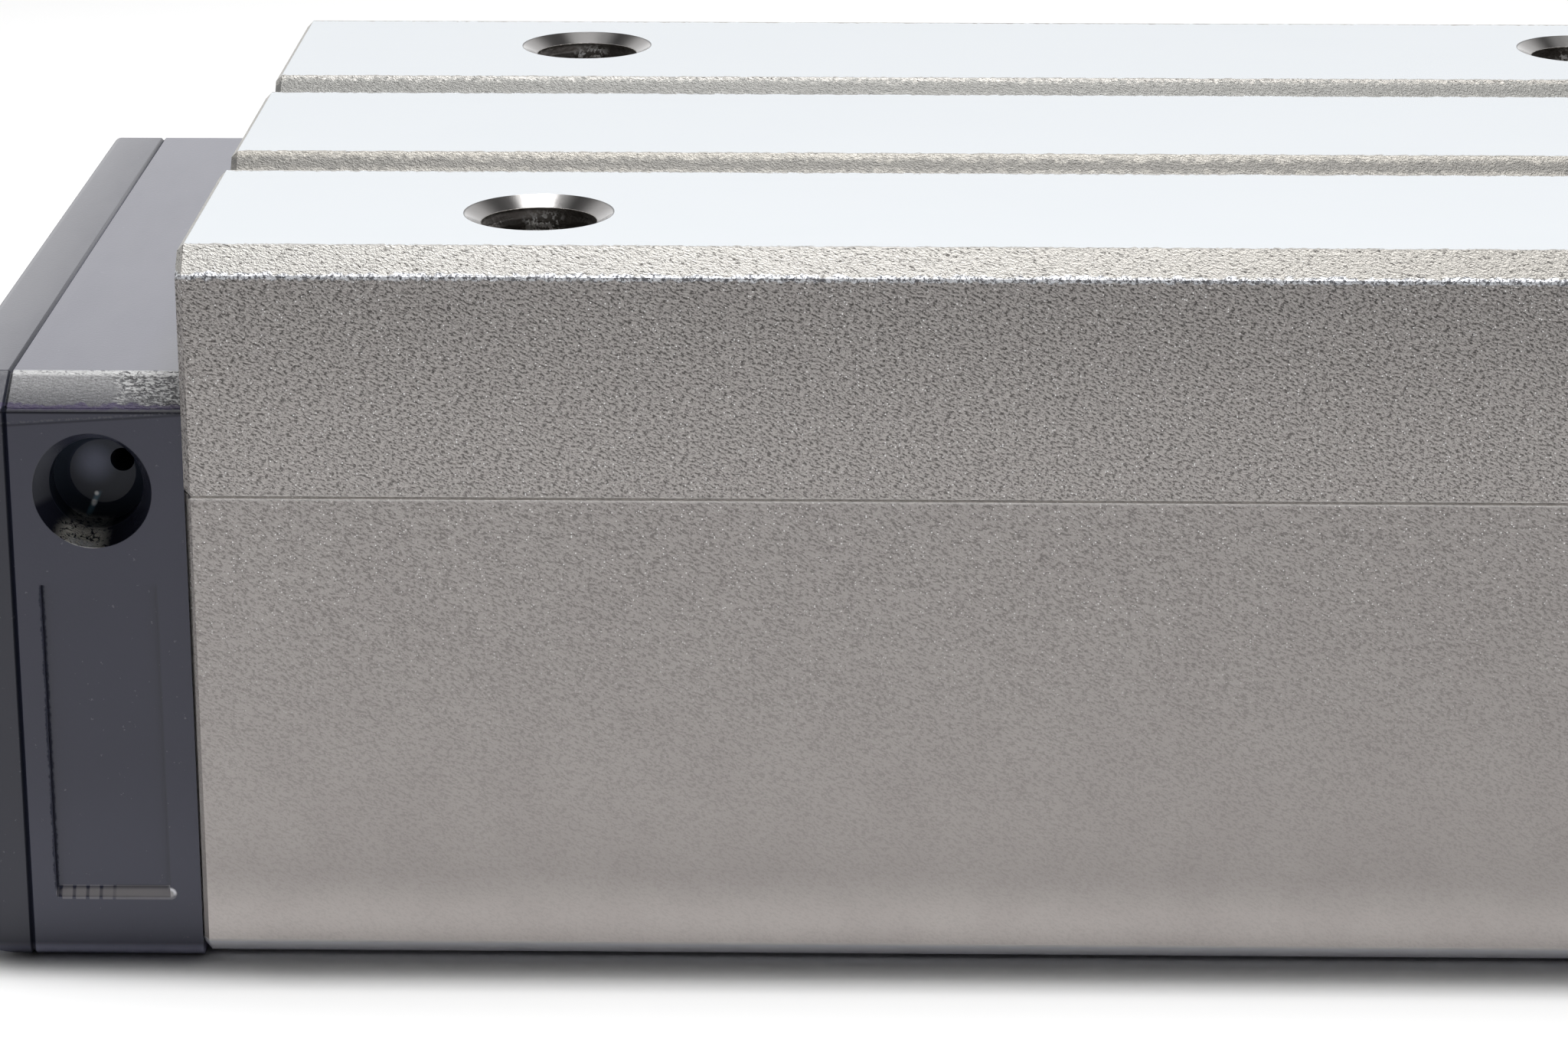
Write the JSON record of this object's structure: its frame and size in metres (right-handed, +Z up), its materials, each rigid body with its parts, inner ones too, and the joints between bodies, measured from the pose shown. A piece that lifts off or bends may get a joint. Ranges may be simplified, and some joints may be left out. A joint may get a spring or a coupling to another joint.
{
  "type": "linear bearing block",
  "caption": "Recirculating-ball guide block for a profile rail: steel body with a tapped top, moulded end caps, seals and endless ball tracks.",
  "frame": {"origin": "middle of the block on the plane that its end caps stand on", "axes": "+X along the rail, +Y across it away from the picture's near side, +Z up through the mounting face"},
  "size_m": [0.1438, 0.07, 0.0462],
  "materials": {
    "body_steel": "shot-blasted sides and ground top",
    "cap_plastic": "moulded, dark grey-blue",
    "guide_plastic": "moulded, plain",
    "seal_rubber": "moulded",
    "ball_steel": "polished",
    "screw_steel": "zinc-plated"
  },
  "bodies": {
    "carriage": {"carriage_body": "body_steel", "ball_retainer_top": "guide_plastic", "end_cap_left": "cap_plastic", "seal_cover_left": "cap_plastic", "end_seal_left": "seal_rubber", "cap_screws_left": "screw_steel", "grease_plug_left": "screw_steel", "return_guide_left_near": "guide_plastic", "return_guide_left_far": "guide_plastic", "end_cap_right": "cap_plastic", "seal_cover_right": "cap_plastic", "end_seal_right": "seal_rubber", "cap_screws_right": "screw_steel", "grease_plug_right": "screw_steel", "return_guide_right_near": "guide_plastic", "return_guide_right_far": "guide_plastic", "ball_retainer_middle_near": "guide_plastic", "ball_retainer_bottom_near": "guide_plastic", "bottom_seal_near": "seal_rubber", "ball_retainer_middle_far": "guide_plastic", "ball_retainer_bottom_far": "guide_plastic", "bottom_seal_far": "seal_rubber"},
    "load_row_upper_near": {"load_balls_upper_near": "ball_steel"},
    "return_row_upper_near": {"return_balls_upper_near": "ball_steel"},
    "turn_upper_near_left": {"turn_balls_upper_near_left": "ball_steel"},
    "turn_upper_near_right": {"turn_balls_upper_near_right": "ball_steel"},
    "load_row_lower_near": {"load_balls_lower_near": "ball_steel"},
    "return_row_lower_near": {"return_balls_lower_near": "ball_steel"},
    "turn_lower_near_left": {"turn_balls_lower_near_left": "ball_steel"},
    "turn_lower_near_right": {"turn_balls_lower_near_right": "ball_steel"},
    "load_row_upper_far": {"load_balls_upper_far": "ball_steel"},
    "return_row_upper_far": {"return_balls_upper_far": "ball_steel"},
    "turn_upper_far_left": {"turn_balls_upper_far_left": "ball_steel"},
    "turn_upper_far_right": {"turn_balls_upper_far_right": "ball_steel"},
    "load_row_lower_far": {"load_balls_lower_far": "ball_steel"},
    "return_row_lower_far": {"return_balls_lower_far": "ball_steel"},
    "turn_lower_far_left": {"turn_balls_lower_far_left": "ball_steel"},
    "turn_lower_far_right": {"turn_balls_lower_far_right": "ball_steel"}
  },
  "joints": [
    {"name": "load_row_upper_near_roll", "type": "slide", "parent": "carriage", "child": "load_row_upper_near", "axis": [1, 0, 0], "range_m": [-0.00355, 0.00355]},
    {"name": "return_row_upper_near_roll", "type": "slide", "parent": "carriage", "child": "return_row_upper_near", "axis": [1, 0, 0], "range_m": [-0.00356, 0.00356]},
    {"name": "turn_upper_near_left_swing", "type": "hinge", "parent": "carriage", "child": "turn_upper_near_left", "pos_m": [-0.0573, -0.02233, 0.01943], "axis": [0, -0.4226, -0.9063], "range_deg": [-45, 45]},
    {"name": "turn_upper_near_right_swing", "type": "hinge", "parent": "carriage", "child": "turn_upper_near_right", "pos_m": [0.0573, -0.02233, 0.01943], "axis": [0, -0.4226, -0.9063], "range_deg": [-45, 45]},
    {"name": "load_row_lower_near_roll", "type": "slide", "parent": "carriage", "child": "load_row_lower_near", "axis": [1, 0, 0], "range_m": [-0.00355, 0.00355]},
    {"name": "return_row_lower_near_roll", "type": "slide", "parent": "carriage", "child": "return_row_lower_near", "axis": [1, 0, 0], "range_m": [-0.00356, 0.00356]},
    {"name": "turn_lower_near_left_swing", "type": "hinge", "parent": "carriage", "child": "turn_lower_near_left", "pos_m": [-0.0573, -0.02276, 0.0075], "axis": [0, 0, -1], "range_deg": [-45, 45]},
    {"name": "turn_lower_near_right_swing", "type": "hinge", "parent": "carriage", "child": "turn_lower_near_right", "pos_m": [0.0573, -0.02276, 0.0075], "axis": [0, 0, -1], "range_deg": [-45, 45]},
    {"name": "load_row_upper_far_roll", "type": "slide", "parent": "carriage", "child": "load_row_upper_far", "axis": [1, 0, 0], "range_m": [-0.00355, 0.00355]},
    {"name": "return_row_upper_far_roll", "type": "slide", "parent": "carriage", "child": "return_row_upper_far", "axis": [1, 0, 0], "range_m": [-0.00356, 0.00356]},
    {"name": "turn_upper_far_left_swing", "type": "hinge", "parent": "carriage", "child": "turn_upper_far_left", "pos_m": [-0.0573, 0.02233, 0.01943], "axis": [0, -0.4226, 0.9063], "range_deg": [-45, 45]},
    {"name": "turn_upper_far_right_swing", "type": "hinge", "parent": "carriage", "child": "turn_upper_far_right", "pos_m": [0.0573, 0.02233, 0.01943], "axis": [0, -0.4226, 0.9063], "range_deg": [-45, 45]},
    {"name": "load_row_lower_far_roll", "type": "slide", "parent": "carriage", "child": "load_row_lower_far", "axis": [1, 0, 0], "range_m": [-0.00355, 0.00355]},
    {"name": "return_row_lower_far_roll", "type": "slide", "parent": "carriage", "child": "return_row_lower_far", "axis": [1, 0, 0], "range_m": [-0.00356, 0.00356]},
    {"name": "turn_lower_far_left_swing", "type": "hinge", "parent": "carriage", "child": "turn_lower_far_left", "pos_m": [-0.0573, 0.02276, 0.0075], "axis": [0, 0, 1], "range_deg": [-45, 45]},
    {"name": "turn_lower_far_right_swing", "type": "hinge", "parent": "carriage", "child": "turn_lower_far_right", "pos_m": [0.0573, 0.02276, 0.0075], "axis": [0, 0, 1], "range_deg": [-45, 45]}
  ],
  "couplings": [
    {"joint": "return_row_upper_near_roll", "follows": "load_row_upper_near_roll", "ratio": -1},
    {"joint": "turn_upper_near_left_swing", "follows": "load_row_upper_near_roll", "rad_per_m": 219.31},
    {"joint": "turn_upper_near_right_swing", "follows": "load_row_upper_near_roll", "rad_per_m": 219.31},
    {"joint": "return_row_lower_near_roll", "follows": "load_row_lower_near_roll", "ratio": -1},
    {"joint": "turn_lower_near_left_swing", "follows": "load_row_lower_near_roll", "rad_per_m": 219.31},
    {"joint": "turn_lower_near_right_swing", "follows": "load_row_lower_near_roll", "rad_per_m": 219.31},
    {"joint": "return_row_upper_far_roll", "follows": "load_row_upper_far_roll", "ratio": -1},
    {"joint": "turn_upper_far_left_swing", "follows": "load_row_upper_far_roll", "rad_per_m": 219.31},
    {"joint": "turn_upper_far_right_swing", "follows": "load_row_upper_far_roll", "rad_per_m": 219.31},
    {"joint": "return_row_lower_far_roll", "follows": "load_row_lower_far_roll", "ratio": -1},
    {"joint": "turn_lower_far_left_swing", "follows": "load_row_lower_far_roll", "rad_per_m": 219.31},
    {"joint": "turn_lower_far_right_swing", "follows": "load_row_lower_far_roll", "rad_per_m": 219.31}
  ]
}
